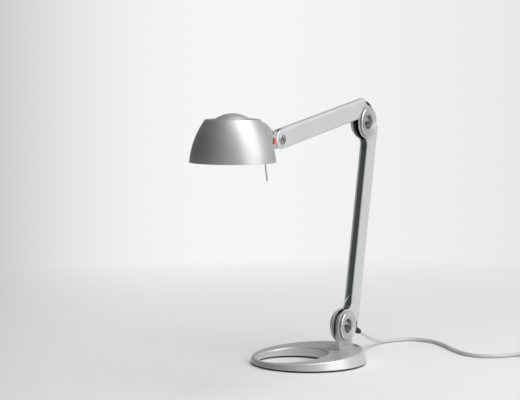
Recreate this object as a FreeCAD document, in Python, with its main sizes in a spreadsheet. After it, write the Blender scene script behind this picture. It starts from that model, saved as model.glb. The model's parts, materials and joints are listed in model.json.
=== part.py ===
"""Balanced-arm desk lamp: round open base, swivel post, two channel arms on hollow
ring joints, and a tilting head with a bell shade.

Row frame, millimetres: the origin lies on the swivel axis at table level, +X is the
way the arms reach at rest, +Z is up, and the joint axes run along Y.
"""
import FreeCAD, Part
import math
import os
import Sketcher

Vector = FreeCAD.Vector
doc = FreeCAD.newDocument("desk_lamp")
sheet = doc.addObject("Spreadsheet::Sheet", "Sizes")


class Size:
    """A number together with the spreadsheet expression that gives it."""

    def __init__(self, value, text):
        self.value = float(value)
        self.text = text

    def __add__(self, other):
        other = size(other)
        return Size(self.value + other.value, "(%s + %s)" % (self.text, other.text))

    def __sub__(self, other):
        other = size(other)
        return Size(self.value - other.value, "(%s - %s)" % (self.text, other.text))

    def __mul__(self, other):
        other = size(other)
        return Size(self.value * other.value, "(%s * %s)" % (self.text, other.text))

    def __truediv__(self, other):
        other = size(other)
        return Size(self.value / other.value, "(%s / %s)" % (self.text, other.text))

    def __neg__(self):
        return Size(-self.value, "(0 - %s)" % self.text)

    def __radd__(self, other):
        return size(other) + self

    def __rsub__(self, other):
        return size(other) - self

    def __rmul__(self, other):
        return size(other) * self


def size(number):
    """Wrap a plain number; leave a Size as it is."""
    return number if isinstance(number, Size) else Size(number, repr(float(number)))


def cosine(angle):
    return Size(math.cos(math.radians(angle.value)), "cos(%s)" % angle.text)


def sine(angle):
    return Size(math.sin(math.radians(angle.value)), "sin(%s)" % angle.text)


def root(number):
    return Size(math.sqrt(number.value), "sqrt(%s)" % number.text)


row_count = 0


def dimension(alias, value, note):
    """One driving dimension: a row of the sheet, and a Size that refers to it."""
    global row_count
    row_count += 1
    sheet.set("A%d" % row_count, alias)
    sheet.set("B%d" % row_count, str(value))
    sheet.setAlias("B%d" % row_count, alias)
    sheet.set("C%d" % row_count, note)
    return Size(value, "Sizes." + alias)


# --- driving dimensions -------------------------------------------------------------
base_radius = dimension("base_radius", 105, "base plate, bottom rim")
base_taper = dimension("base_taper", 6, "base plate's top rim in from its bottom rim")
base_low_height = dimension("base_low_height", 11, "top of the base above the table, low end")
base_high_height = dimension("base_high_height", 27, "top of the base above the table, post end")
base_hole_radius = dimension("base_hole_radius", 64, "round hole through the base")
base_hole_inset = dimension("base_hole_inset", 10, "hole in from the bottom rim, low end")
base_edge_round = dimension("base_edge_round", 3, "rounding of the base's top edges")
base_rim_round = dimension("base_rim_round", 1, "rounding of the base's bottom rim")
swivel_inset = dimension("swivel_inset", 37, "swivel axis in from the bottom rim")
swivel_yaw = dimension("swivel_yaw", 36, "arm plane turned from the base's long axis, degrees")
foot_thickness = dimension("foot_thickness", 3, "rubber foot sheet")
foot_inset = dimension("foot_inset", 3, "foot sheet in from the base's rims")
base_top_radius = base_radius - base_taper
base_hole_shift = base_radius - base_hole_inset - base_hole_radius
swivel_shift = base_radius - swivel_inset

disc_radius = dimension("disc_radius", 28.5, "swivel disc")
disc_gap = dimension("disc_gap", 0.5, "gap round the swivel disc")
disc_top = dimension("disc_top", 23.5, "swivel disc's face above the table")
disc_thickness = dimension("disc_thickness", 5, "swivel disc")
swivel_ring_thickness = dimension("swivel_ring_thickness", 1.5, "slide ring under the disc")
swivel_ring_width = dimension("swivel_ring_width", 12, "slide ring, bore to rim")
spindle_radius = dimension("spindle_radius", 6, "swivel spindle")
running_gap = dimension("running_gap", 0.06, "radial clearance of a shaft in its hole")
nut_radius = dimension("nut_radius", 9.8, "swivel nut across corners, half")
nut_height = dimension("nut_height", 4, "swivel nut")
nut_pocket_radius = dimension("nut_pocket_radius", 12.5, "pocket for the nut under the base")
washer_thickness = dimension("washer_thickness", 1, "steel washer over the swivel nut")

joint_height = dimension("joint_height", 64, "lower joint above the table")
lower_length = dimension("lower_length", 375, "lower arm, joint to joint")
lower_lean = dimension("lower_lean", 11, "lower arm leans back at rest, degrees")
upper_length = dimension("upper_length", 292, "upper arm, joint to head pivot along the channel")
upper_dip = dimension("upper_dip", 9.2, "upper arm channel points below level, degrees")
arm_width = dimension("arm_width", 15.6, "channel, across the cheeks")
arm_back = dimension("arm_back", 44, "channel's spine face behind the joint centres")
arm_front = dimension("arm_front", 9.5, "channel's open edge behind the joint centres")
cheek_thickness = dimension("cheek_thickness", 2, "channel cheeks")
spine_thickness = dimension("spine_thickness", 3, "channel spine")
arm_corner = dimension("arm_corner", 4.5, "rounding of the channel's spine corners")
eye_radius = dimension("eye_radius", 30, "lower arm's round eyes at the joints")
eye_blend = dimension("eye_blend", 12, "concave rounding from an eye to the open edge")
spine_foot = dimension("spine_foot", 10, "lower arm's spine ends above the lower joint")
part_gap = dimension("part_gap", 1.0, "gap between the upper arm and the lower arm's eye")
side_gap = dimension("side_gap", 0.3, "gap beside a tongue")

post_width = dimension("post_width", 46, "swivel post, front to back")
post_thickness = dimension("post_thickness", 8, "swivel post, side to side")
flange_height = dimension("flange_height", 2.5, "step at the foot of the post")
flange_margin = dimension("flange_margin", 3, "step's width round the post")
flange_round = dimension("flange_round", 1, "rounding of the step")

sleeve_bore = dimension("sleeve_bore", 13, "hollow joint sleeve, bore radius")
sleeve_radius = dimension("sleeve_radius", 14.5, "hollow joint sleeve, outer radius")
bush_wall = dimension("bush_wall", 1, "plain bush on the sleeve")
seat_thickness = dimension("seat_thickness", 1.6, "black seat washer under a ring")
seat_radius = dimension("seat_radius", 24.5, "black seat washer")
ring_radius = dimension("ring_radius", 27, "turned ring flange")
ring_rim = dimension("ring_rim", 3.4, "ring flange's thickness at its rim")
ring_floor = dimension("ring_floor", 0.9, "ring flange's thickness at the bore")
ring_mouth = dimension("ring_mouth", 16, "ring flange's stepped bore")
ring_bevel = dimension("ring_bevel", 1.2, "bevel on the ring flange's rim")
pulley_thickness = dimension("pulley_thickness", 2.8, "balance pulleys")
lower_pulley_radius = dimension("lower_pulley_radius", 28.6, "lower balance pulley")
upper_pulley_radius = dimension("upper_pulley_radius", 32.2, "upper balance pulley")
upper_tongue = dimension("upper_tongue", 5, "upper arm's tongue, side to side")
upper_tongue_radius = dimension("upper_tongue_radius", 23, "upper arm's tongue round the joint")
rope_radius = dimension("rope_radius", 0.75, "steel balance rope")

pin_radius = dimension("pin_radius", 2.2, "spring anchor pins")
pin_reach = dimension("pin_reach", 47.5, "anchor pin from its joint, along the arm")
pin_depth = dimension("pin_depth", 18, "anchor pins behind the joint centres")
spring_radius = dimension("spring_radius", 3.6, "balance springs, outer")
spring_wire = dimension("spring_wire", 0.9, "balance spring wire")
sock_wall = dimension("sock_wall", 0.7, "woven sleeve over a spring")
rear_spring_depth = dimension("rear_spring_depth", 28.3, "rear spring behind the joint centres")
spring_length = dimension("spring_length", 130, "balance spring, closed coils")
sock_margin = dimension("sock_margin", 62, "woven sleeve's end from a joint centre")
lead_radius = dimension("lead_radius", 2.2, "inner lead along the arms")
lead_depth = dimension("lead_depth", 36.6, "inner lead behind the joint centres")
link_size = dimension("link_size", 4, "hanger link, across the channel")

pivot_depth = dimension("pivot_depth", 26.75, "head pivot behind the joint centre line")
pivot_bolt_radius = dimension("pivot_bolt_radius", 4, "head pivot bolt")
pivot_head_radius = dimension("pivot_head_radius", 8.5, "slotted heads of the pivot bolt")
pivot_head_height = dimension("pivot_head_height", 2.2, "slotted heads of the pivot bolt")
slot_width = dimension("slot_width", 1.8, "screwdriver slot")
slot_depth = dimension("slot_depth", 1.2, "screwdriver slot")
friction_washer = dimension("friction_washer", 0.6, "friction washers at the head pivot")
neck_gap = dimension("neck_gap", 0.8, "gap round the arm's end at the neck")

neck_root_tall = dimension("neck_root_tall", 16, "neck at the arm's end, half height")
neck_root_wide = dimension("neck_root_wide", 7.8, "neck at the arm's end, half width")
neck_seam = dimension("neck_seam", 51, "seam across the neck, from the pivot")
neck_seam_tall = dimension("neck_seam_tall", 29.5, "neck at the seam, half height")
neck_seam_wide = dimension("neck_seam_wide", 21, "neck at the seam, half width")
neck_end_tall = dimension("neck_end_tall", 33, "neck inside the shade, half height")
neck_end_wide = dimension("neck_end_wide", 31, "neck inside the shade, half width")
neck_wall = dimension("neck_wall", 2.4, "neck casing")
neck_rise = dimension("neck_rise", 1.5, "neck's middle above the pivot at the seam")
neck_end_rise = dimension("neck_end_rise", 4, "neck's middle above the pivot inside the shade")
seam_groove = dimension("seam_groove", 0.6, "open groove at the neck's seam")

shade_reach = dimension("shade_reach", 139, "shade axis from the head pivot")
shade_radius = dimension("shade_radius", 71, "shade, bottom rim")
shade_top_radius = dimension("shade_top_radius", 44.5, "shade, flat top")
shade_drop = dimension("shade_drop", 31, "bottom rim below the head pivot")
shade_height = dimension("shade_height", 70, "bottom rim to flat top")
shade_bulge = dimension("shade_bulge", 138, "radius of the shade's side in section")
shade_wall = dimension("shade_wall", 1.6, "shade")
shade_corner = dimension("shade_corner", 3, "rounding of the shade's top edge")
vent_radius = dimension("vent_radius", 33, "round opening in the shade's top")
cap_radius = dimension("cap_radius", 29, "dome cap")
cap_rise = dimension("cap_rise", 9.5, "dome cap above the flat top")
cap_wall = dimension("cap_wall", 1.6, "dome cap")
rib_count = dimension("rib_count", 12, "ribs in the vent gap")
rib_thickness = dimension("rib_thickness", 1.6, "ribs in the vent gap")
liner_gap = dimension("liner_gap", 0.4, "reflector inside the shade")
liner_wall = dimension("liner_wall", 0.8, "reflector")
holder_radius = dimension("holder_radius", 15, "lampholder")
holder_height = dimension("holder_height", 24, "lampholder")
bulb_radius = dimension("bulb_radius", 7, "halogen capsule")
bulb_length = dimension("bulb_length", 34, "halogen capsule below the lampholder")

switch_reach = dimension("switch_reach", 45, "switch bar from the head pivot")
switch_radius = dimension("switch_radius", 4.3, "switch bar")
switch_proud = dimension("switch_proud", 3.4, "switch bar beyond the neck, pressed-out end")
switch_travel = dimension("switch_travel", 3, "switch bar's travel")
collar_width = dimension("collar_width", 2, "collar round a switch bar end")
collar_proud = dimension("collar_proud", 0.7, "collar beyond the neck")
rod_radius = dimension("rod_radius", 1.5, "steel handle rod under the neck")
rod_reach = dimension("rod_reach", 44, "handle rod from the head pivot")
rod_end = dimension("rod_end", 68, "handle rod's end below the head pivot")
rod_lean = dimension("rod_lean", 8, "handle rod leans sideways, degrees")

cord_radius = dimension("cord_radius", 3.5, "mains cord")
relief_radius = dimension("relief_radius", 5.4, "strain relief, big end")
relief_length = dimension("relief_length", 28, "strain relief")
relief_turn = dimension("relief_turn", 99.5, "strain relief turned from the arm, degrees")
relief_depth = dimension("relief_depth", 34.4, "strain relief's root behind the joint centres")
relief_rise = dimension("relief_rise", -3.1, "strain relief's root, from the lower joint")
relief_seat = dimension("relief_seat", -8, "lower end of the cord's plug, from the lower joint")
grommet_tall = dimension("grommet_tall", 16, "cord's plug inside the channel")
coil_radius = dimension("coil_radius", 38, "cord coil, middle of its turns")
coil_turns = dimension("coil_turns", 6, "turns in the cord coil")
tie_thickness = dimension("tie_thickness", 0.5, "tie strap round the coil")
tie_width = dimension("tie_width", 9, "tie strap round the coil")
plug_thickness = dimension("plug_thickness", 14, "flat mains plug")
plug_width = dimension("plug_width", 35, "flat mains plug")
plug_neck = dimension("plug_neck", 12, "flat mains plug at the cord")
plug_round = dimension("plug_round", 2.5, "rounding of the plug's edges")
plug_length = dimension("plug_length", 34, "mains plug body")
contact_radius = dimension("contact_radius", 2.4, "plug contacts")
contact_length = dimension("contact_length", 19, "plug contacts")
contact_pitch = dimension("contact_pitch", 19, "plug contacts, centre to centre")
doc.recompute()

ZERO = size(0)
Y_AXIS = Vector(0, 1, 0)
nodes = []


# --- building helpers ---------------------------------------------------------------
def keep(thing, label):
    """Mark a finished sub-part: its label names its file."""
    thing.Label = label
    nodes.append(thing)
    return thing


def bind(thing, **values):
    """Bind properties to sizes."""
    for name, value in values.items():
        thing.setExpression(name, size(value).text)
    return thing


def put(thing, x=ZERO, y=ZERO, z=ZERO, axis=None, angle=ZERO):
    """Place a sub-part at a point, turned about an axis, all bound to the sheet."""
    if axis is not None:
        thing.Placement = FreeCAD.Placement(Vector(), FreeCAD.Rotation(axis, 1.0))
        thing.setExpression("Placement.Rotation.Angle", size(angle).text)
    thing.setExpression("Placement.Base.x", size(x).text)
    thing.setExpression("Placement.Base.y", size(y).text)
    thing.setExpression("Placement.Base.z", size(z).text)
    return thing


def sketch_on(body, plane, offset=ZERO):
    """A sketch on one of the body's own planes, moved along that plane's normal."""
    sketch = body.newObject("Sketcher::SketchObject", "Sketch")
    origin_plane = [item for item in body.Origin.OriginFeatures if item.Role == plane][0]
    sketch.AttachmentSupport = [(origin_plane, "")]
    sketch.MapMode = "FlatFace"
    if offset is not ZERO:
        sketch.setExpression("AttachmentOffset.Base.z", offset.text)
    return sketch


def hold_point(sketch, geometry, end, u, v):
    """Tie one point of a sketch to the sheet."""
    for kind, value in (("DistanceX", u), ("DistanceY", v)):
        number = sketch.addConstraint(
            Sketcher.Constraint(kind, -1, 1, geometry, end, value.value))
        sketch.setExpression("Constraints[%d]" % number, value.text)


def draw(sketch, corners):
    """A closed outline. A corner is (u, v), or (u, v, radius) where an arc starts:
    a positive radius bends to the left of the way it runs, a negative one to the right."""
    corners = [tuple(size(part) for part in corner) for corner in corners]
    first = sketch.GeometryCount
    ends = []
    for place, corner in enumerate(corners):
        following = corners[(place + 1) % len(corners)]
        a = Vector(corner[0].value, corner[1].value, 0)
        b = Vector(following[0].value, following[1].value, 0)
        if len(corner) == 2:
            sketch.addGeometry(Part.LineSegment(a, b))
            ends.append((1, 2))
            continue
        radius = corner[2]
        half = (b - a).Length / 2
        sagitta = abs(radius.value) - math.sqrt(max(radius.value ** 2 - half ** 2, 0))
        right = Vector((b - a).y, -(b - a).x, 0).normalize()
        side = 1 if radius.value > 0 else -1
        middle = (a + b) / 2 + right * sagitta * side
        sketch.addGeometry(Part.Arc(a, middle, b))
        ends.append((1, 2) if side > 0 else (2, 1))
    for place, corner in enumerate(corners):
        geometry = first + place
        following = first + (place + 1) % len(corners)
        next_start = ends[(place + 1) % len(corners)][0]
        sketch.addConstraint(
            Sketcher.Constraint("Coincident", geometry, ends[place][1], following, next_start))
    for place, corner in enumerate(corners):
        hold_point(sketch, first + place, ends[place][0], corner[0], corner[1])
        if len(corner) == 3:
            radius = corner[2] if corner[2].value > 0 else -corner[2]
            number = sketch.addConstraint(
                Sketcher.Constraint("Radius", first + place, radius.value))
            sketch.setExpression("Constraints[%d]" % number, radius.text)
    return sketch


def circle(sketch, u, v, radius):
    """A circle tied to the sheet."""
    u, v, radius = size(u), size(v), size(radius)
    spot = Vector(u.value, v.value, 0)
    number = sketch.addGeometry(Part.Circle(spot, Vector(0, 0, 1), radius.value))
    hold_point(sketch, number, 3, u, v)
    held = sketch.addConstraint(Sketcher.Constraint("Radius", number, radius.value))
    sketch.setExpression("Constraints[%d]" % held, radius.text)
    return sketch


def new_body(name):
    return doc.addObject("PartDesign::Body", name)


def pad(body, sketch, length, both_ways=True, kind="Pad", backwards=False):
    """Pad or pocket a sketch, about its plane or to one side."""
    feature = body.newObject("PartDesign::" + kind, kind)
    feature.Profile = sketch
    feature.Midplane = both_ways
    feature.Reversed = backwards
    bind(feature, Length=length)
    before = 0.0 if feature.BaseFeature is None else feature.BaseFeature.Shape.Volume
    doc.recompute()
    if kind == "Pocket" and feature.Shape.Volume >= before - 1e-6:
        raise ValueError("a pocket of %s cuts nothing" % body.Name)
    return feature


def turn(body, sketch, kind="Revolution"):
    """Turn a sketch about its vertical axis."""
    feature = body.newObject("PartDesign::" + kind, kind)
    feature.Profile = sketch
    feature.ReferenceAxis = (sketch, ["V_Axis"])
    feature.Angle = 360
    doc.recompute()
    return feature


def fillet(body, feature, radius, chosen):
    """Round the edges of a feature that pass a test."""
    names = []
    for number, edge in enumerate(feature.Shape.Edges):
        if chosen(edge):
            names.append("Edge%d" % (number + 1))
    rounding = body.newObject("PartDesign::Fillet", "Fillet")
    rounding.Base = (feature, names)
    bind(rounding, Radius=radius)
    doc.recompute()
    return rounding


def middle(edge):
    """A point halfway along an edge."""
    return edge.valueAt((edge.FirstParameter + edge.LastParameter) / 2)


def near(a, b):
    return abs(a - b) < 0.05


def cylinder(name, radius, height, bore=None):
    """A plain or bored cylinder along its own Z."""
    outer = bind(doc.addObject("Part::Cylinder", name), Radius=radius, Height=height)
    if bore is None:
        return outer
    inner = bind(doc.addObject("Part::Cylinder", name + "_bore"), Radius=bore, Height=height)
    cut = doc.addObject("Part::Cut", name + "_tube")
    cut.Base = outer
    cut.Tool = inner
    return cut


def box(name, length, width, height, x=ZERO, y=ZERO, z=ZERO):
    """A box with its low corner at a point."""
    block = bind(doc.addObject("Part::Box", name), Length=length, Width=width, Height=height)
    return put(block, x, y, z)


def joined(name, *things):
    """A group of separate solids kept as one sub-part."""
    group = doc.addObject("Part::Compound", name)
    group.Links = list(things)
    return group


class Frame:
    """A straight member's own frame: Z along it, X to its open side, turned about Y."""

    def __init__(self, x, z, angle):
        self.x = x
        self.z = z
        self.angle = angle

    def point(self, x, z):
        """The row's X and Z of a point of this frame."""
        x, z = size(x), size(z)
        along, across = sine(self.angle), cosine(self.angle)
        return self.x + x * across + z * along, self.z - x * along + z * across

    def put(self, thing, x=ZERO, y=ZERO, z=ZERO):
        """Place a sub-part drawn along this member."""
        row_x, row_z = self.point(x, z)
        return put(thing, row_x, y, row_z, Y_AXIS, self.angle)

    def across(self, thing, x, y, z, spin=-90):
        """Place a sub-part drawn along Z so that it lies along the row's Y."""
        row_x, row_z = self.point(x, z)
        return put(thing, row_x, y, row_z, Vector(1, 0, 0), spin)

    def vector(self, x, y, z):
        """A point of this frame as a vector of numbers."""
        row_x, row_z = self.point(x, z)
        return Vector(row_x.value, size(y).value, row_z.value)


post_frame = Frame(ZERO, joint_height, ZERO)
lower_frame = Frame(ZERO, joint_height, -lower_lean)
upper_x, upper_z = lower_frame.point(0, lower_length)
upper_frame = Frame(upper_x, upper_z, 90 + upper_dip)
head_x, head_z = upper_frame.point(-pivot_depth, upper_length)
head_frame = Frame(head_x, head_z, ZERO)

half_width = arm_width / 2
inner_half = half_width - cheek_thickness

# --- base ---------------------------------------------------------------------------
# Heavy round plate with a sloping top and a large offset hole. It is drawn with its
# long axis along its own X, hole first, and then turned under the swivel axis.


def put_base(thing):
    return put(thing, swivel_shift * cosine(swivel_yaw), -(swivel_shift * sine(swivel_yaw)),
               ZERO, Vector(0, 0, 1), 180 - swivel_yaw)


recess_floor = disc_top - disc_thickness - swivel_ring_thickness
recess_radius = disc_radius + disc_gap

base = new_body("base")
turn(base, draw(sketch_on(base, "XZ_Plane"), [
    (0, foot_thickness), (base_radius, foot_thickness),
    (base_top_radius, base_high_height), (0, base_high_height)]))
slope = sketch_on(base, "XZ_Plane")
draw(slope, [(-base_radius, base_low_height), (base_radius, base_high_height),
             (base_radius, base_high_height * 2), (-base_radius, base_high_height * 2)])
pad(base, slope, base_radius * 2.1, kind="Pocket")
hole = circle(sketch_on(base, "XY_Plane"), -base_hole_shift, 0, base_hole_radius)
base_shape = pad(base, hole, base_high_height * 4, kind="Pocket")


def is_top_edge(edge):
    spot = middle(edge)
    return spot.z > foot_thickness.value + 1 and edge.BoundBox.XLength > 20


base_shape = fillet(base, base_shape, base_edge_round, is_top_edge)
base_shape = fillet(base, base_shape, base_rim_round, lambda edge: near(
    edge.BoundBox.XLength, 2 * base_radius.value) and near(edge.BoundBox.ZLength, 0))
recess = circle(sketch_on(base, "XY_Plane", recess_floor), swivel_shift, 0, recess_radius)
pad(base, recess, base_high_height, both_ways=False, kind="Pocket", backwards=True)
nut_pocket = circle(sketch_on(base, "XY_Plane", foot_thickness), swivel_shift, 0,
                    nut_pocket_radius)
nut_pocket_depth = washer_thickness + nut_height + 1
pad(base, nut_pocket, nut_pocket_depth, both_ways=False, kind="Pocket", backwards=True)
spindle_hole = circle(sketch_on(base, "XY_Plane"), swivel_shift, 0,
                      spindle_radius + running_gap)
pad(base, spindle_hole, base_high_height * 4, kind="Pocket")
keep(put_base(base), "base_plate")

foot = new_body("foot")
foot_sketch = circle(sketch_on(foot, "XY_Plane"), 0, 0, base_radius - foot_inset)
circle(foot_sketch, -base_hole_shift, 0, base_hole_radius + foot_inset)
pad(foot, foot_sketch, foot_thickness, both_ways=False)
keep(put_base(foot), "base_foot_sheet")

slide_ring = cylinder("slide_ring", disc_radius - disc_gap, swivel_ring_thickness,
                      disc_radius - disc_gap - swivel_ring_width)
keep(put(slide_ring, z=recess_floor), "swivel_slide_ring")

# --- swivel post --------------------------------------------------------------------
# Round disc let into the base, with a flat upright that carries the lower joint.
tongue_near = inner_half - side_gap
post_middle = tongue_near - post_thickness / 2
post_far = tongue_near - post_thickness
tongue_hole = sleeve_radius + bush_wall + running_gap
half_post = post_width / 2

post = new_body("post")
turn(post, draw(sketch_on(post, "XZ_Plane"), [
    (0, disc_top - disc_thickness), (disc_radius, disc_top - disc_thickness),
    (disc_radius, disc_top), (0, disc_top)]))
step = draw(sketch_on(post, "XY_Plane", disc_top), [
    (-half_post - flange_margin, post_far - flange_margin),
    (half_post + flange_margin, post_far - flange_margin),
    (half_post + flange_margin, tongue_near + flange_margin),
    (-half_post - flange_margin, tongue_near + flange_margin)])
post_shape = pad(post, step, flange_height, both_ways=False)
post_shape = fillet(post, post_shape, flange_round, lambda edge: near(
    middle(edge).z, (disc_top + flange_height).value))
upright = sketch_on(post, "XZ_Plane", -post_middle)
draw(upright, [(-half_post, disc_top), (half_post, disc_top),
               (half_post, joint_height, half_post), (0, joint_height + half_post, half_post),
               (-half_post, joint_height)])
circle(upright, 0, joint_height, tongue_hole)
pad(post, upright, post_thickness)
keep(post, "swivel_post")

spindle = cylinder("spindle", spindle_radius, disc_top - disc_thickness - foot_thickness - 1)
keep(put(spindle, z=foot_thickness + 1), "swivel_spindle")
nut_top = foot_thickness + nut_pocket_depth - washer_thickness
nut_body = bind(doc.addObject("Part::Prism", "nut_body"), Circumradius=nut_radius,
                Height=nut_height)
nut_body.Polygon = 6
nut_bore = bind(doc.addObject("Part::Cylinder", "nut_bore"), Radius=spindle_radius,
                Height=nut_height)
nut = doc.addObject("Part::Cut", "nut")
nut.Base = nut_body
nut.Tool = nut_bore
keep(put(nut, z=nut_top - nut_height), "swivel_nut")
keep(put(cylinder("washer", nut_radius + 1, washer_thickness, spindle_radius), z=nut_top),
     "swivel_washer")


# --- hollow ring joints -------------------------------------------------------------
# A sleeve runs through both cheeks of the lower arm. Turned rings close it on black
# seat washers, and the tongue between the cheeks turns on a bush.
def ring_joint(name, frame, along, tongue, tongue_width):
    seat_top = half_width + seat_thickness
    seats = []
    for side, sign in (("near", 1), ("far", -1)):
        seat = cylinder(name + side + "_seat", seat_radius, seat_thickness, sleeve_radius)
        start = half_width if sign > 0 else -seat_top
        seats.append(frame.across(seat, 0, start, along))
        ring = new_body(name + side + "_ring")
        turn(ring, draw(sketch_on(ring, "XZ_Plane"), [
            (sleeve_radius, 0), (ring_radius - ring_bevel / 2, 0),
            (ring_radius, ring_bevel / 2), (ring_radius, ring_rim - ring_bevel),
            (ring_radius - ring_bevel, ring_rim), (ring_mouth + 1, ring_floor),
            (ring_mouth, ring_floor), (ring_mouth, ring_floor / 2),
            (sleeve_radius, ring_floor / 2)]))
        keep(frame.across(ring, 0, seat_top * sign, along, -90 * sign),
             "%s_ring_%s" % (name, side))
    keep(joined(name + "_seats", *seats), name + "_ring_seats")
    length = (seat_top + ring_floor / 2) * 2
    sleeve = cylinder(name + "_sleeve", sleeve_radius, length, sleeve_bore)
    keep(frame.across(sleeve, 0, -length / 2, along), name + "_hollow_axle")
    bush = cylinder(name + "_bush", sleeve_radius + bush_wall, tongue_width, sleeve_radius)
    keep(frame.across(bush, 0, tongue - tongue_width, along), name + "_plain_bush")


ring_joint("lower_joint", lower_frame, ZERO, tongue_near, post_thickness)
ring_joint("upper_joint", lower_frame, lower_length, tongue_near, upper_tongue)

lower_pulley = cylinder("lower_pulley", lower_pulley_radius, pulley_thickness, tongue_hole)
keep(post_frame.across(lower_pulley, 0, post_far - pulley_thickness, 0), "lower_balance_pulley")
upper_pulley = cylinder("upper_pulley", upper_pulley_radius, pulley_thickness, tongue_hole)
upper_pulley_far = tongue_near - upper_tongue - pulley_thickness
keep(upper_frame.across(upper_pulley, 0, upper_pulley_far, 0), "upper_balance_pulley")

# --- lower arm ----------------------------------------------------------------------
# Bent sheet channel, open to the front, with a round eye at each end of both cheeks.
eye_reach = root((eye_radius + eye_blend) * (eye_radius + eye_blend)
                 - (eye_blend - arm_front) * (eye_blend - arm_front))
eye_share = eye_radius / (eye_radius + eye_blend)
touch_x = (eye_blend - arm_front) * eye_share
touch_z = eye_reach * eye_share
eye_back = root(eye_radius * eye_radius - spine_foot * spine_foot)

lower_arm = new_body("lower_arm")
cheeks = sketch_on(lower_arm, "XZ_Plane")
draw(cheeks, [
    (-arm_back, spine_foot), (-eye_back, spine_foot, eye_radius),
    (0, -eye_radius, eye_radius), (eye_radius, 0, eye_radius),
    (touch_x, touch_z, -eye_blend), (-arm_front, eye_reach),
    (-arm_front, lower_length - eye_reach, -eye_blend),
    (touch_x, lower_length - touch_z, eye_radius), (eye_radius, lower_length, eye_radius),
    (0, lower_length + eye_radius, eye_radius), (-eye_radius, lower_length),
    (-arm_back, lower_length)])
arm_shape = pad(lower_arm, cheeks, arm_width)
arm_shape = fillet(lower_arm, arm_shape, arm_corner, lambda edge: near(
    middle(edge).x, -arm_back.value) and edge.BoundBox.ZLength > 50)
trough = draw(sketch_on(lower_arm, "XZ_Plane"), [
    (spine_thickness - arm_back, -arm_back), (arm_back, -arm_back),
    (arm_back, lower_length + arm_back), (spine_thickness - arm_back, lower_length + arm_back)])
pad(lower_arm, trough, inner_half * 2, kind="Pocket")
bores = circle(sketch_on(lower_arm, "XZ_Plane"), 0, 0, sleeve_radius)
circle(bores, 0, lower_length, sleeve_radius)
circle(bores, -pin_depth, pin_reach, pin_radius)
circle(bores, -pin_depth, lower_length - pin_reach, pin_radius)
pad(lower_arm, bores, arm_width * 2, kind="Pocket")
keep(lower_frame.put(lower_arm), "lower_arm_channel")

# Anchor pins across the channel, and the two balance springs in woven sleeves.
pins = []
for place in (pin_reach, lower_length - pin_reach):
    pins.append(lower_frame.across(cylinder("pin", pin_radius, arm_width), -pin_depth,
                                   -half_width, place))
keep(joined("pins", *pins), "spring_anchor_pins")
sock_radius = spring_radius + sock_wall
sock_length = lower_length - sock_margin * 2
for name, depth, start in (("front", pin_depth, lower_length - sock_margin - spring_length),
                           ("rear", rear_spring_depth, sock_margin)):
    spring = cylinder(name + "_spring", spring_radius, spring_length,
                      spring_radius - spring_wire)
    keep(lower_frame.put(spring, -depth, 0, start), "balance_spring_" + name)
    sock = cylinder(name + "_sock", sock_radius, sock_length, spring_radius)
    keep(lower_frame.put(sock, -depth, 0, sock_margin), "spring_sleeve_" + name)


def hanger(name, reach, flip):
    """A link from an anchor pin to the end of its spring."""
    body = new_body(name)
    tall = sock_margin - reach
    back = rear_spring_depth if flip > 0 else pin_depth
    ends = [(-pin_depth - link_size, reach + pin_radius), (1 - pin_depth, reach + pin_radius),
            (-back + spring_radius, reach + tall), (-back - spring_radius, reach + tall)]
    if flip < 0:
        ends = [(u, lower_length - v) for u, v in reversed(ends)]
    pad(body, draw(sketch_on(body, "XZ_Plane"), ends), link_size)
    return lower_frame.put(body)


spring_plug = lower_frame.put(cylinder("spring_plug", spring_radius * 0.95, spring_wire * 2),
                              -rear_spring_depth, 0, sock_margin + spring_length)
keep(joined("hangers", hanger("rear_hanger", pin_reach, 1),
            hanger("front_hanger", pin_reach, -1), spring_plug), "spring_hangers")


# --- ropes, inner lead and cord -----------------------------------------------------
def solid_feature(name, shape):
    feature = doc.addObject("Part::Feature", name)
    feature.Shape = shape
    return feature


def tube_along(edges, radius):
    """A round tube swept along joined edges."""
    path = Part.Wire(edges)
    start = edges[0].valueAt(edges[0].FirstParameter)
    way = edges[0].tangentAt(edges[0].FirstParameter)
    ring = Part.Wire([Part.makeCircle(radius, start, way)])
    return path.makePipeShell([ring], True, False)


def line(a, b):
    return Part.LineSegment(a, b).toShape()


def arc(a, b, c):
    return Part.Arc(a, b, c).toShape()


def on_circle(frame, radius, degrees, y, along=ZERO):
    """A point round a joint: 0 degrees is the member's X, 90 its Z."""
    turned = math.radians(degrees)
    return frame.vector(radius * math.cos(turned), y, along.value + radius * math.sin(turned))


lower_rope_round = (lower_pulley_radius + rope_radius).value
lower_rope_y = post_far - pulley_thickness / 2
LOWER_ROPE_START = 62
LOWER_ROPE_END = -55
rope_start = on_circle(lower_frame, lower_rope_round, LOWER_ROPE_START, lower_rope_y)
wrap = arc(rope_start,
           on_circle(lower_frame, lower_rope_round, (LOWER_ROPE_START + LOWER_ROPE_END) / 2,
                     lower_rope_y),
           on_circle(lower_frame, lower_rope_round, LOWER_ROPE_END, lower_rope_y))
keep(solid_feature("lower_wrap", tube_along([wrap], rope_radius.value)), "lower_rope_on_pulley")
rope_away = on_circle(lower_frame, lower_rope_round, LOWER_ROPE_START + 90, 0) - lower_frame.vector(
    0, 0, 0)
rope_away.normalize()
rope_from = rope_start + rope_away * 0.4
rope_to = lower_frame.vector(-pin_depth, 0, sock_margin - 0.4)
keep(solid_feature("lower_run", tube_along([line(rope_from, rope_to)], rope_radius.value)),
     "lower_rope")

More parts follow.
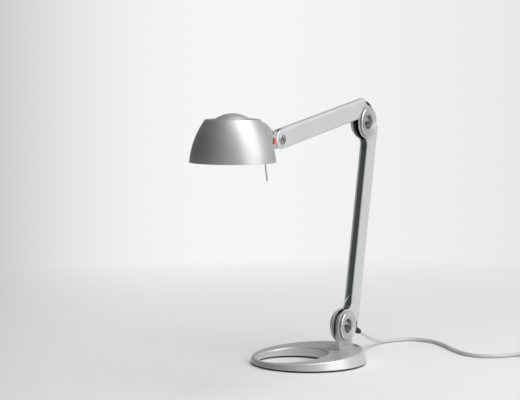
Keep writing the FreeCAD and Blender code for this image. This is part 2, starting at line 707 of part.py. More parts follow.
upper_rope_round = (upper_pulley_radius + rope_radius).value
upper_rope_y = upper_pulley_far + pulley_thickness / 2
UPPER_ROPE_SPREAD = 28
wrap_from = 180.0
wrap_to = 180 + (upper_frame.angle - lower_frame.angle).value + UPPER_ROPE_SPREAD
upper_wrap = arc(on_circle(upper_frame, upper_rope_round, wrap_from, upper_rope_y),
                 on_circle(upper_frame, upper_rope_round, (wrap_from + wrap_to) / 2,
                           upper_rope_y),
                 on_circle(upper_frame, upper_rope_round, wrap_to, upper_rope_y))
anchor_run = line(upper_frame.vector(-upper_rope_round, upper_rope_y, pin_radius * 4),
                  upper_frame.vector(-upper_rope_round, upper_rope_y, 0))
keep(solid_feature("upper_wrap", tube_along([anchor_run, upper_wrap], rope_radius.value)),
     "upper_rope_on_pulley")
upper_run_top = lower_frame.vector(-rear_spring_depth, 0, sock_margin + spring_length
                                   + spring_wire * 2)
upper_run_end = lower_frame.vector(-rear_spring_depth, upper_rope_y * 0.6,
                                   lower_length - upper_pulley_radius * 0.75)
keep(solid_feature("upper_run", tube_along([line(upper_run_top, upper_run_end)],
                                           rope_radius.value)), "upper_rope")

# The inner lead runs behind the springs, round the upper joint and along the upper arm.
lead_round = lead_depth.value
LEAD_SPREAD = 32
lead_start = lower_frame.vector(-lead_depth, 0, spine_foot + 16)
lead_stop = lower_frame.vector(-lead_depth, 0, lower_length - lead_round * math.sin(
    math.radians(LEAD_SPREAD)) - 26)
keep(solid_feature("lower_lead", tube_along([line(lead_start, lead_stop)], lead_radius.value)),
     "inner_lead_lower")
lead_to = 180 + (upper_frame.angle - lower_frame.angle).value + LEAD_SPREAD
lead_arc = arc(on_circle(upper_frame, lead_round, lead_to, 0),
               on_circle(upper_frame, lead_round, (lead_to + 180) / 2, 0),
               on_circle(upper_frame, lead_round, 180, 0))
lead_line = line(upper_frame.vector(-lead_depth, 0, 0),
                 upper_frame.vector(-lead_depth, 0, upper_length - 2 * pivot_head_radius
                                    - neck_root_tall))
keep(solid_feature("upper_lead", tube_along([lead_arc, lead_line], lead_radius.value)),
     "inner_lead_upper")

# --- upper arm ----------------------------------------------------------------------
# Same channel section, hollowed at its rear end round the lower arm's eye, rounded at
# the head pivot. A tongue riveted inside it turns on the upper joint.
upper_arm = new_body("upper_arm")
cut_radius = eye_radius + part_gap
cut_back = root(cut_radius * cut_radius - arm_front * arm_front)
nose_radius = (arm_back - arm_front) / 2
upper_cheeks = draw(sketch_on(upper_arm, "XZ_Plane"), [
    (-arm_back, 0), (-cut_radius, 0, -cut_radius), (-arm_front, cut_back),
    (-arm_front, upper_length, nose_radius),
    (-pivot_depth, upper_length + nose_radius, nose_radius), (-arm_back, upper_length)])
upper_shape = pad(upper_arm, upper_cheeks, arm_width)
upper_shape = fillet(upper_arm, upper_shape, arm_corner, lambda edge: near(
    middle(edge).x, -arm_back.value) and edge.BoundBox.ZLength > 50)
upper_trough = draw(sketch_on(upper_arm, "XZ_Plane"), [
    (spine_thickness - arm_back, -arm_back), (arm_back, -arm_back),
    (arm_back, upper_length + arm_back), (spine_thickness - arm_back, upper_length + arm_back)])
pad(upper_arm, upper_trough, inner_half * 2, kind="Pocket")
neck_clear = nose_radius + neck_gap
nose_slot = draw(sketch_on(upper_arm, "XZ_Plane"), [
    (-arm_back * 1.2, upper_length - neck_clear * 0.45), (spine_thickness - arm_back,
                                                          upper_length - neck_clear * 0.45),
    (spine_thickness - arm_back, upper_length + arm_back),
    (-arm_back * 1.2, upper_length + arm_back)])
pad(upper_arm, nose_slot, inner_half * 2, kind="Pocket")
pivot_hole = circle(sketch_on(upper_arm, "XZ_Plane"), -pivot_depth, upper_length,
                    pivot_bolt_radius)
pad(upper_arm, pivot_hole, arm_width * 2, kind="Pocket")
keep(upper_frame.put(upper_arm), "upper_arm_channel")

tongue_back = lead_depth - lead_radius - side_gap * 4
tongue = new_body("tongue")
tongue_reach = eye_radius * 2.2
tongue_front = arm_front + cheek_thickness
tongue_drop = root(upper_tongue_radius * upper_tongue_radius - tongue_front * tongue_front)
tongue_sketch = sketch_on(tongue, "XZ_Plane", upper_tongue / 2 - tongue_near)
draw(tongue_sketch, [
    (-upper_tongue_radius, 0, upper_tongue_radius),
    (0, -upper_tongue_radius, upper_tongue_radius), (upper_tongue_radius, 0, upper_tongue_radius),
    (-tongue_front, tongue_drop), (-tongue_front, tongue_reach), (-tongue_back, tongue_reach),
    (-tongue_back, tongue_drop)])
circle(tongue_sketch, 0, 0, tongue_hole)
pad(tongue, tongue_sketch, upper_tongue)
keep(upper_frame.put(tongue), "upper_arm_tongue")

# --- head pivot ---------------------------------------------------------------------
pivot_bolt = cylinder("pivot_bolt", pivot_bolt_radius, arm_width)
keep(head_frame.across(pivot_bolt, 0, -half_width, 0), "head_pivot_bolt")
bolt_caps = []
for side, sign in (("near", 1), ("far", -1)):
    cap = new_body("pivot_cap_" + side)
    turn(cap, draw(sketch_on(cap, "XZ_Plane"), [
        (0, 0), (pivot_head_radius, 0), (pivot_head_radius, pivot_head_height * 0.7),
        (pivot_head_radius - pivot_head_height * 0.3, pivot_head_height),
        (0, pivot_head_height)]))
    slot = draw(sketch_on(cap, "XY_Plane", pivot_head_height), [
        (-pivot_head_radius * 0.72, -slot_width / 2), (pivot_head_radius * 0.72, -slot_width / 2),
        (pivot_head_radius * 0.72, slot_width / 2), (-pivot_head_radius * 0.72, slot_width / 2)])
    pad(cap, slot, slot_depth, both_ways=False, kind="Pocket")
    bolt_caps.append(head_frame.across(cap, 0, half_width * sign, 0, -90 * sign))
keep(joined("bolt_caps", *bolt_caps), "head_pivot_caps")
neck_tongue_half = inner_half - friction_washer
washers = []
for start in (-inner_half, neck_tongue_half):
    washers.append(head_frame.across(
        cylinder("friction_washer", pivot_head_radius + 2, friction_washer, pivot_bolt_radius),
        0, start, 0))
keep(joined("friction_washers", *washers), "head_friction_washers")


# --- neck ---------------------------------------------------------------------------
# Two hollow oval casings that widen from the arm's end to the shade. The rear one has
# the tongue that turns on the pivot bolt.
def oval(body, x, wide, tall, centre):
    """An oval section across the neck, as a sketch on the body's YZ plane."""
    sketch = sketch_on(body, "YZ_Plane", x)
    u, v = size(wide), size(tall)
    middle_v = size(centre)
    upright_oval = tall.value > wide.value
    a = Vector(0, middle_v.value + v.value, 0) if upright_oval else Vector(
        u.value, middle_v.value, 0)
    b = Vector(u.value, middle_v.value, 0) if upright_oval else Vector(
        0, middle_v.value + v.value, 0)
    number = sketch.addGeometry(Part.Ellipse(a, b, Vector(0, middle_v.value, 0)))
    hold_point(sketch, number, 3, ZERO, middle_v)
    sketch.exposeInternalGeometry(number)
    major = number + 1
    minor = number + 2
    longer, shorter = (v, u) if upright_oval else (u, v)
    for line_number, length in ((major, longer * 2), (minor, shorter * 2)):
        held = sketch.addConstraint(
            Sketcher.Constraint("Distance", line_number, length.value))
        sketch.setExpression("Constraints[%d]" % held, length.text)
    kind = "Vertical" if upright_oval else "Horizontal"
    sketch.addConstraint(Sketcher.Constraint(kind, major))
    return sketch


def loft(body, sections, kind="AdditiveLoft"):
    feature = body.newObject("PartDesign::" + kind, kind)
    feature.Profile = sections[0]
    feature.Sections = sections[1:]
    feature.Ruled = True
    doc.recompute()
    return feature


neck_start = neck_clear + neck_gap
neck_end = shade_reach - shade_top_radius
solid_root = neck_start + neck_wall * 2
seam_half = seam_groove / 2


def neck_section(distance, inset=ZERO):
    """Half width, half height and middle of the neck at a distance from the pivot."""
    if distance.value <= neck_seam.value:
        share = (distance - neck_start) / (neck_seam - neck_start)
        wide = neck_root_wide + (neck_seam_wide - neck_root_wide) * share
        tall = neck_root_tall + (neck_seam_tall - neck_root_tall) * share
        rise = neck_rise * share
    else:
        share = (distance - neck_seam) / (neck_end - neck_seam)
        wide = neck_seam_wide + (neck_end_wide - neck_seam_wide) * share
        tall = neck_seam_tall + (neck_end_tall - neck_seam_tall) * share
        rise = neck_rise + (neck_end_rise - neck_rise) * share
    return wide - inset, tall - inset, rise


def neck_piece(name, start, stop, hollow_from, hollow_to):
    body = new_body(name)
    sections = [oval(body, x, *neck_section(x)) for x in (start, stop)]
    loft(body, sections)
    holes = [oval(body, x, *neck_section(x, neck_wall)) for x in (hollow_from, hollow_to)]
    loft(body, holes, "SubtractiveLoft")
    return body


rear_neck = neck_piece("rear_neck", neck_start, neck_seam - seam_half, solid_root,
                       neck_seam - seam_half)
tab = draw(sketch_on(rear_neck, "XZ_Plane"), [
    (0, -neck_root_tall * 0.85, -neck_root_tall * 0.85),
    (-neck_root_tall * 0.85, 0, -neck_root_tall * 0.85), (0, neck_root_tall * 0.85),
    (solid_root, neck_root_tall * 0.85), (solid_root, -neck_root_tall * 0.85)])
pad(rear_neck, tab, neck_tongue_half * 2)
tab_hole = circle(sketch_on(rear_neck, "XZ_Plane"), 0, 0, pivot_bolt_radius + running_gap)
pad(rear_neck, tab_hole, arm_width, kind="Pocket")
bar_hole = circle(sketch_on(rear_neck, "XZ_Plane"), switch_reach, 0, switch_radius
                  + collar_width)
pad(rear_neck, bar_hole, neck_seam_wide * 3, kind="Pocket")
rod_top = -(neck_seam_tall - neck_wall * 2.5)
rod_hole = circle(sketch_on(rear_neck, "XY_Plane"), rod_reach, 0, rod_radius * 2)
pad(rear_neck, rod_hole, neck_seam_tall * 2, both_ways=False, kind="Pocket")
keep(head_frame.put(rear_neck), "neck_rear_casing")

shade_bottom = -shade_drop
shade_top = shade_height - shade_drop


def shade_outline(inset, bottom, top):
    """Half section of the bell at a distance in from its outer face."""
    return [(shade_radius - inset, bottom, shade_bulge - inset),
            (shade_top_radius - inset, top)]


front_neck = neck_piece("front_neck", neck_seam + seam_half, neck_end, neck_seam + seam_half,
                        neck_end)
bell = new_body("bell")
turn(bell, draw(sketch_on(bell, "XZ_Plane"), [
    (0, shade_bottom)] + shade_outline(ZERO, shade_bottom, shade_top) + [(0, shade_top)]))
put(bell, shade_reach)
front_cut = doc.addObject("Part::Cut", "front_cut")
front_cut.Base = front_neck
front_cut.Tool = bell
keep(head_frame.put(front_cut), "neck_front_casing")

# --- switch and handle rod ----------------------------------------------------------
switch_wide, _, _ = neck_section(switch_reach)
bar_length = switch_wide * 2 + switch_proud * 2 - switch_travel
bar = cylinder("bar", switch_radius, bar_length)
keep(head_frame.across(bar, switch_reach, -switch_wide - switch_proud + switch_travel, 0),
     "switch_bar")
collars = []
for sign in (1, -1):
    collar = cylinder("collar", switch_radius + collar_width, neck_wall + collar_proud,
                      switch_radius + running_gap)
    start = switch_wide - neck_wall if sign > 0 else -switch_wide - collar_proud
    collars.append(head_frame.across(collar, switch_reach, start, 0))
keep(joined("collars", *collars), "switch_collars")
block_half = switch_radius * 2
block = box("block", block_half * 1.6, block_half * 1.5, block_half * 2,
            switch_reach - block_half * 0.8, -block_half * 0.75, -block_half)
stay = box("stay", block_half * 0.8, block_half, neck_seam_tall,
           switch_reach - block_half * 0.4, -block_half / 2, 0)
neck_core = new_body("neck_core")
loft(neck_core, [oval(neck_core, x, *neck_section(x, neck_wall))
                 for x in (solid_root, neck_seam - seam_half)])
stay_trim = doc.addObject("Part::Common", "stay_trim")
stay_trim.Base = stay
stay_trim.Tool = neck_core
block_whole = doc.addObject("Part::Fuse", "block_whole")
block_whole.Base = block
block_whole.Tool = stay_trim
block_bore = bind(doc.addObject("Part::Cylinder", "block_bore"),
                  Radius=switch_radius + running_gap, Height=block_half * 4)
switch_block = doc.addObject("Part::Cut", "switch_block")
switch_block.Base = block_whole
switch_block.Tool = put(block_bore, switch_reach, -block_half * 2, 0, Vector(1, 0, 0), -90)
keep(head_frame.put(switch_block), "switch_block")

rod_length = rod_end + rod_top
rod = cylinder("rod", rod_radius, rod_length)
rod_x, rod_z = head_frame.point(rod_reach, rod_top)
keep(put(rod, rod_x, 0, rod_z, Vector(1, 0, 0), 180 + rod_lean), "handle_rod")
grommet = cylinder("grommet", rod_radius * 2, neck_wall * 2.2, rod_radius * 1.5)
keep(head_frame.put(grommet, rod_reach, 0, -neck_seam_tall + neck_wall * 0.4),
     "handle_rod_grommet")

# --- shade --------------------------------------------------------------------------
shade = new_body("shade")
shade_shape = turn(shade, draw(sketch_on(shade, "XZ_Plane"), [
    (shade_radius - shade_wall, shade_bottom)] + shade_outline(ZERO, shade_bottom, shade_top) + [
    (vent_radius, shade_top), (vent_radius, shade_top - shade_wall),
    (shade_top_radius - shade_wall, shade_top - shade_wall, shade_wall - shade_bulge)]))
fillet(shade, shade_shape, shade_wall * 0.9, lambda edge: near(
    middle(edge).z, shade_top.value) and near(edge.BoundBox.XLength, 2 * shade_top_radius.value))
cord_port = circle(sketch_on(shade, "YZ_Plane"), 0, 0, lead_radius * 3)
pad(shade, cord_port, shade_radius * 2, both_ways=False, kind="Pocket", backwards=False)
keep(head_frame.put(shade, shade_reach), "shade")

cap = new_body("cap")
cap_sphere = (cap_radius * cap_radius + cap_rise * cap_rise) / (cap_rise * 2)
inner_sphere = cap_sphere - cap_wall
inner_radius = cap_radius - cap_wall
inner_rise = inner_sphere - root(inner_sphere * inner_sphere - inner_radius * inner_radius)
cap_skirt = shade_wall * 2
turn(cap, draw(sketch_on(cap, "XZ_Plane"), [
    (cap_radius, -cap_skirt), (cap_radius, 0, cap_sphere), (0, cap_rise),
    (0, inner_rise, -inner_sphere), (inner_radius, 0), (inner_radius, -cap_skirt)]))
keep(head_frame.put(cap, shade_reach, 0, shade_top), "vent_cap")

grille = new_body("grille")
grille_rim = circle(sketch_on(grille, "XY_Plane", -cap_skirt), 0, 0, vent_radius)
circle(grille_rim, 0, 0, vent_radius - rib_thickness)
pad(grille, grille_rim, cap_skirt, both_ways=False)
rib_half = rib_thickness / 2
rib_sketch = draw(sketch_on(grille, "XY_Plane", -cap_skirt), [
    (cap_radius, -rib_half), (vent_radius - rib_half, -rib_half),
    (vent_radius - rib_half, rib_half), (cap_radius, rib_half)])
rib = pad(grille, rib_sketch, cap_skirt * 0.75, both_ways=False)
ribs = grille.newObject("PartDesign::PolarPattern", "Ribs")
ribs.Originals = [rib]
ribs.Axis = (rib_sketch, ["N_Axis"])
ribs.Angle = 360
bind(ribs, Occurrences=rib_count)
grille.Tip = ribs
doc.recompute()
keep(head_frame.put(grille, shade_reach, 0, shade_top), "vent_grille")

liner = new_body("liner")
liner_in = shade_wall + liner_gap
liner_low = shade_bottom + liner_gap * 4
liner_top = shade_top - shade_wall - liner_wall * 6
liner_foot = shade_radius - liner_in - liner_gap
liner_head = shade_top_radius - liner_in + liner_wall * 2
turn(liner, draw(sketch_on(liner, "XZ_Plane"), [
    (liner_foot - liner_wall, liner_low), (liner_foot, liner_low, shade_bulge - liner_in),
    (liner_head, liner_top), (holder_radius, liner_top), (holder_radius, liner_top - liner_wall),
    (liner_head - liner_wall, liner_top - liner_wall, liner_in + liner_wall - shade_bulge)]))
keep(head_frame.put(liner, shade_reach), "reflector")

holder_low = shade_top - cap_skirt - holder_height
holder = new_body("holder")
turn(holder, draw(sketch_on(holder, "XZ_Plane"), [
    (0, 0), (holder_radius, 0), (holder_radius, holder_height),
    (cap_radius - cap_wall, holder_height), (cap_radius - cap_wall, holder_height + cap_wall),
    (0, holder_height + cap_wall)]))
keep(head_frame.put(holder, shade_reach, 0, holder_low), "lampholder")
bulb = new_body("bulb")
turn(bulb, draw(sketch_on(bulb, "XZ_Plane"), [
    (0, -bulb_length, bulb_radius), (bulb_radius, bulb_radius - bulb_length), (bulb_radius, 0),
    (0, 0)]))
keep(head_frame.put(bulb, shade_reach, 0, holder_low), "halogen_bulb")

# --- mains cord ---------------------------------------------------------------------
# The cord leaves the lower end of the lower arm's channel through a plug of black
# plastic, falls to the table behind the base, lies there in a loose double bend and is
# wound up beside the lamp, with its plug at the end.
CORD_EXIT = [(-59.9, 0, 44.5), (-84, -4, 35.6), (-108.5, -11, 27.6)]
CORD_DROP = [(-108.5, -11, 27.6), (-131.8, -17.65, 20), (-157, -23, 12.8),
             (-183, -25.2, 6.8), (-206, -22.5, 3.8), (-225, -12.6, 3.5)]
CORD_FLOOR = [(-225, -12.6, 3.5), (-243.6, -2.9, 3.5), (-255, 15, 3.5), (-256.5, 39, 3.5),
              (-247, 64, 3.5), (-228, 90, 3.5), (-203, 115, 3.5), (-179, 142, 3.5),
              (-159, 172, 3.5), (-156, 204, 3.5), (-173, 230, 3.5), (-200, 247, 3.8),
              (-226, 265, 4.1), (-252, 281.5, 4.4)]


def cord_edges(points, radius_floor, name):
    """Straight runs joined by tangent arcs as large as the two runs allow."""
    points = [Vector(*point) for point in points]
    edges = []
    radii = []
    start = points[0]
    for before, corner, after in zip(points, points[1:], points[2:]):
        way_in = (corner - before).normalize()
        way_out = (after - corner).normalize()
        half_turn = way_in.getAngle(way_out) / 2
        reach = 0.45 * min((corner - before).Length, (after - corner).Length)
        radii.append(reach / math.tan(half_turn))
        first = corner - way_in * reach
        last = corner + way_out * reach
        inward = (way_out - way_in).normalize()
        depth = radii[-1] / math.cos(half_turn) - radii[-1]
        edges += [line(start, first), arc(first, corner + inward * depth, last)]
        start = last
    edges.append(line(start, points[-1]))
    print(name, "radii", [round(radius, 1) for radius in radii], "least", radius_floor)
    return edges


def cord_node(points, label):
    edges = cord_edges(points, 10 * cord_radius.value, label)
    tube = tube_along(edges, cord_radius.value)
    length = sum(edge.Length for edge in edges)
    share = tube.Volume / (math.pi * cord_radius.value ** 2 * length)
    print(label, "length", round(length, 1), "volume share", round(share, 4))
    keep(solid_feature(label, tube), label)
    return length


cord_length = cord_node(CORD_EXIT, "cord_exit")
cord_length += cord_node(CORD_DROP, "cord_drop")
cord_length += cord_node(CORD_FLOOR, "cord_floor")

# The coil: in along the lower layer, up a layer in half a turn, out along the upper one.
cord_heading = (Vector(*CORD_FLOOR[-1]) - Vector(*CORD_FLOOR[-2]))
cord_heading.z = 0
cord_heading.normalize()
turn_pitch = 2 * cord_radius.value + 1.8
layer_pitch = 2 * cord_radius.value + 0.5
spiral_turns = (coil_turns.value - 1) / 2 - 0.25
coil_outer = coil_radius.value + turn_pitch * spiral_turns / 2
coil_entry = Vector(*CORD_FLOOR[-1])
coil_centre = coil_entry + Vector(-cord_heading.y, cord_heading.x, 0) * -coil_outer
coil_start = math.atan2(coil_entry.y - coil_centre.y, coil_entry.x - coil_centre.x)
coil_all = 2 * spiral_turns + 0.5


def coil_point(turns):
    """A point of the cord's centre line after a number of turns, clockwise from above."""
    if turns <= spiral_turns:
        radius = coil_outer - turn_pitch * turns
        climb = 0.0
    elif turns < spiral_turns + 0.5:
        radius = coil_outer - turn_pitch * spiral_turns
        share = (turns - spiral_turns) / 0.5
        climb = (1 - math.cos(math.pi * share)) / 2
    else:
        radius = coil_outer - turn_pitch * (coil_all - turns)
        climb = 1.0
    turned = coil_start - 2 * math.pi * turns
    return Vector(coil_centre.x + radius * math.cos(turned),
                  coil_centre.y + radius * math.sin(turned), coil_entry.z + layer_pitch * climb)


def biarc(a, way_a, b, way_b):
    """Two arcs that leave a along way_a and reach b along way_b."""
    gap = b - a
    both = way_a + way_b
    quad = 2 * (1 - way_a.dot(way_b))
    reach = (math.sqrt(gap.dot(both) ** 2 + quad * gap.dot(gap)) - gap.dot(both)) / quad
    joint = (a + way_a * reach + b - way_b * reach) / 2
    edges = []
    for start, way, stop in ((a, way_a, joint), (joint, None, b)):
        if way is None:
            way = (b - way_b * reach - joint).normalize()
        chord = stop - start
        half = way.getAngle(chord) / 2
        across = (way - chord * (way.dot(chord) / chord.dot(chord))).normalize()
        bow = chord.Length / 2 * math.tan(half)
        edges.append(arc(start, (start + stop) / 2 + across * bow, stop))
    return edges


def coil_way(turns):
    step = 1e-4
    low, high = max(turns - step, 0), min(turns + step, coil_all)
    return (coil_point(high) - coil_point(low)).normalize()


coil_edges = []
stations = [0.25 * number for number in range(int(round(coil_all / 0.25)) + 1)]
for here, there in zip(stations, stations[1:]):
    coil_edges += biarc(coil_point(here), coil_way(here), coil_point(there), coil_way(there))
coil_wire = Part.Wire(coil_edges)
coil_samples = coil_wire.discretize(Number=600)
coil_step = coil_wire.Length / 599
apart = int(6 * cord_radius.value / coil_step) + 1
least_gap = min((a - b).Length for place, a in enumerate(coil_samples)
                for b in coil_samples[place + apart:]) - 2 * cord_radius.value
print("cord_coil length", round(coil_wire.Length, 1), "least self-gap", round(least_gap, 2))
coil_tube = tube_along(coil_edges, cord_radius.value)
print("cord_coil volume share", round(
    coil_tube.Volume / (math.pi * cord_radius.value ** 2 * coil_wire.Length), 4))
keep(solid_feature("cord_coil", coil_tube), "cord_coil")
cord_length += coil_wire.Length

coil_end = coil_point(coil_all)
tail_way = coil_way(coil_all)
plug_height = plug_thickness / 2
CORD_TAIL_RUN = 16
tail_drop = (coil_end.z - plug_height.value)
tail_middle = coil_end + tail_way * CORD_TAIL_RUN
tail_next = tail_middle + tail_way * CORD_TAIL_RUN - Vector(0, 0, tail_drop)
tail_last = tail_next + tail_way * CORD_TAIL_RUN
cord_length += cord_node([tuple(point) for point in (coil_end, tail_middle, tail_next,
                                                     tail_last)], "cord_tail")
print("cord length in all", round(cord_length, 1))

# A tie strap round the coil.
tie_angle = coil_start + math.pi
tie_body = new_body("tie")
tie_low = coil_outer - turn_pitch * spiral_turns - cord_radius.value - 0.5
tie_high = coil_outer + cord_radius.value + 0.5
tie_floor = coil_entry.z - cord_radius.value - 0.3
tie_ceiling = coil_entry.z + layer_pitch + cord_radius.value + 0.3
tie_sketch = draw(sketch_on(tie_body, "XZ_Plane"), [
    (tie_low - tie_thickness, tie_floor - tie_thickness),
    (tie_high + tie_thickness, tie_floor - tie_thickness),
    (tie_high + tie_thickness, tie_ceiling + tie_thickness),
    (tie_low - tie_thickness, tie_ceiling + tie_thickness)])
draw(tie_sketch, [(tie_low, tie_floor), (tie_high, tie_floor), (tie_high, tie_ceiling),
                  (tie_low, tie_ceiling)])
pad(tie_body, tie_sketch, tie_width)
put(tie_body, coil_centre.x, coil_centre.y, 0, Vector(0, 0, 1), math.degrees(tie_angle))
keep(tie_body, "cord_tie")

# Flat two-pin plug on the end of the cord.
plug_turn = math.degrees(math.atan2(tail_way.y, tail_way.x))
plug = new_body("plug")
plug_sketch = draw(sketch_on(plug, "XY_Plane"), [
    (0, -plug_neck / 2), (plug_length * 0.45, -plug_width / 2), (plug_length, -plug_width / 2),
    (plug_length, plug_width / 2), (plug_length * 0.45, plug_width / 2), (0, plug_neck / 2)])
plug_shape = pad(plug, plug_sketch, plug_thickness)
fillet(plug, plug_shape, plug_round, lambda edge: edge.BoundBox.ZLength < 0.1)
put(plug, tail_last.x, tail_last.y, plug_height, Vector(0, 0, 1), plug_turn)
keep(plug, "plug_body")
contacts = []
for side in (-1, 1):
    contact = cylinder("contact", contact_radius, contact_length)
    slide = Vector(plug_length.value, side * contact_pitch.value / 2, 0)
    spot = tail_last + FreeCAD.Rotation(Vector(0, 0, 1), plug_turn).multVec(slide)
    tilt = Vector(-tail_way.y, tail_way.x, 0)
    contacts.append(put(contact, spot.x, spot.y, plug_height, tilt, 90))
keep(joined("contacts", *contacts), "plug_contacts")

# Plug in the channel's lower end, and the tapered strain relief that leaves it.
grommet_front = lead_depth - lead_radius - side_gap * 4
grommet = new_body("cord_grommet_body")
grommet_sketch = draw(sketch_on(grommet, "XZ_Plane"), [
    (-arm_back + spine_thickness, relief_seat), (-grommet_front, relief_seat),
    (-grommet_front, spine_foot + grommet_tall),
    (-arm_back + spine_thickness, spine_foot + grommet_tall)])
pad(grommet, grommet_sketch, inner_half * 2)
lead_hole = circle(sketch_on(grommet, "XY_Plane", relief_seat + relief_radius), -lead_depth, 0,
                   lead_radius)
pad(grommet, lead_hole, arm_back, both_ways=False, kind="Pocket", backwards=True)
relief_x, relief_z = lower_frame.point(-relief_depth, relief_rise)
relief = bind(doc.addObject("Part::Cone", "relief"), Radius1=relief_radius,
              Radius2=cord_radius + 0.5, Height=relief_length)
put(relief, relief_x, 0, relief_z, Y_AXIS, -(lower_lean + relief_turn))
cord_relief = doc.addObject("Part::MultiFuse", "cord_relief")
cord_relief.Shapes = [lower_frame.put(grommet), relief]
keep(cord_relief, "cord_strain_relief")

# --- write --------------------------------------------------------------------------
doc.recompute()
for item in doc.Objects:
    if "Invalid" in item.State or "Error" in item.State:
        raise ValueError("%s (%s) failed: %s" % (item.Name, item.Label, item.State))
os.makedirs("parts", exist_ok=True)
for node in nodes:
    shape = node.Shape
    if shape.isNull() or not shape.isValid():
        raise ValueError("%s has no valid shape" % node.Label)
    shape.exportStep("parts/%s.step" % node.Label)
print(len(nodes), "sub-parts")
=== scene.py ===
"""Looks of a balanced-arm desk lamp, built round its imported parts. Metres, row frame."""

import json
import math

import bmesh
import bpy
from mathutils import Matrix, Vector


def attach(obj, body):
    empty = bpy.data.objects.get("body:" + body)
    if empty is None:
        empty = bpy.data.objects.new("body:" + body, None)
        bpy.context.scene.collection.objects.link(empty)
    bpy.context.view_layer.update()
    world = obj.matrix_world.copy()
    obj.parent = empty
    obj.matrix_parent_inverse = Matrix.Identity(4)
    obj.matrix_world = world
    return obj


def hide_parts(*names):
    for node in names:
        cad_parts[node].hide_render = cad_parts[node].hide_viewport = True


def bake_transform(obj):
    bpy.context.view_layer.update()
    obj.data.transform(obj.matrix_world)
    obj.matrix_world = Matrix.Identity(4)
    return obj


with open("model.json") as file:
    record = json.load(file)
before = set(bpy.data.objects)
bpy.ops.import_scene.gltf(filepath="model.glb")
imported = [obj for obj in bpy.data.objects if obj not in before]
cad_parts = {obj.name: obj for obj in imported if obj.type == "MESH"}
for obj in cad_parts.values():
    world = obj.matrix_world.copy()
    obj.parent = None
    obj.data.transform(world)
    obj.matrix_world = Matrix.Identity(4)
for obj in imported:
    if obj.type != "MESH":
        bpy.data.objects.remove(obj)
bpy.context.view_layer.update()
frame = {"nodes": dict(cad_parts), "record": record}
nodes = frame["nodes"]
collection = bpy.context.scene.collection

# --- camera -------------------------------------------------------------------------
# Long lens from the lamp's near side, a little above it and tipped slightly down.
camera = bpy.data.objects.new("camera", bpy.data.cameras.new("camera"))
collection.objects.link(camera)
camera.data.sensor_width = 36
camera.data.lens = 116.9
camera.data.shift_x = 0.001
camera.data.clip_end = 60
LEVEL_WAY = Vector((-0.8387, -0.5446, 0))
toward = LEVEL_WAY * 0.99631 - Vector((0, 0, 0.0858))
camera.location = (2.636, 1.530, 0.5552)
camera.rotation_euler = toward.to_track_quat("-Z", "Y").to_euler()
scene = bpy.context.scene
scene.camera = camera
scene.render.resolution_x = 520
scene.render.resolution_y = 400
scene.view_settings.view_transform = "Standard"

# --- mains cord ---------------------------------------------------------------------
# Out of the strain relief, down to the table behind the base, then a loose double bend and the
# put-away coil.
CORD = 0.0035


def route(name, points, body):
    """A cord's curve through its route's points, riding on a body."""
    curve = bpy.data.curves.new(name, "CURVE")
    curve.dimensions = "3D"
    spline = curve.splines.new("NURBS")
    spline.points.add(len(points) - 1)
    for point, place in zip(spline.points, points):
        point.co = (*place, 1)
    spline.order_u = 3
    spline.use_endpoint_u = True
    spline.resolution_u = 10
    curve.bevel_depth = CORD
    curve.bevel_resolution = 5
    curve.use_fill_caps = True
    made = bpy.data.objects.new(name, curve)
    collection.objects.link(made)
    if body:
        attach(made, body)
    return made


def bending(name, points):
    """A stretch of cord as a mesh, with its own line and length."""
    guide = route(name + "_route", points, None)
    meshes = []
    for depth in (0.0, CORD):
        guide.data.bevel_depth = depth
        graph = bpy.context.evaluated_depsgraph_get()
        graph.update()
        meshes.append(bpy.data.meshes.new_from_object(guide.evaluated_get(graph)))
    path = [tuple(vertex.co) for vertex in meshes[0].vertices]
    bpy.data.objects.remove(guide)
    meshes[1].polygons.foreach_set("use_smooth", [True] * len(meshes[1].polygons))
    made = bpy.data.objects.new(name, meshes[1])
    collection.objects.link(made)
    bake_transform(made)
    length = sum((Vector(a) - Vector(b)).length for a, b in zip(path, path[1:]))
    return made, path, length


exit_points = [(-0.0599, 0, 0.0445), (-0.084, -0.004, 0.0356), (-0.1085, -0.011, 0.0276)]
cord_exit, exit_path, exit_length = bending("cord_at_relief", exit_points)
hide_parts("cord_exit")

drop_points = [(-0.1085, -0.011, 0.0276), (-0.1318, -0.01765, 0.020), (-0.157, -0.023, 0.0128),
               (-0.183, -0.0252, 0.0068), (-0.206, -0.0225, 0.0038), (-0.225, -0.0126, 0.0035)]
cord_drop, drop_path, drop_length = bending("cord_to_table", drop_points)
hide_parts("cord_drop")

floor_points = [(-0.225, -0.0126, 0.0035), (-0.2436, -0.0029, 0.0035), (-0.255, 0.015, 0.0035),
                (-0.2565, 0.039, 0.0035), (-0.247, 0.064, 0.0035), (-0.228, 0.090, 0.0035),
                (-0.203, 0.115, 0.0035), (-0.179, 0.142, 0.0035), (-0.159, 0.172, 0.0035),
                (-0.156, 0.204, 0.0035), (-0.173, 0.230, 0.0035), (-0.200, 0.247, 0.0038),
                (-0.226, 0.265, 0.0041), (-0.252, 0.2815, 0.0044)]
heading = Vector(floor_points[-1]) - Vector(floor_points[-2])
heading.z = 0
heading.normalize()
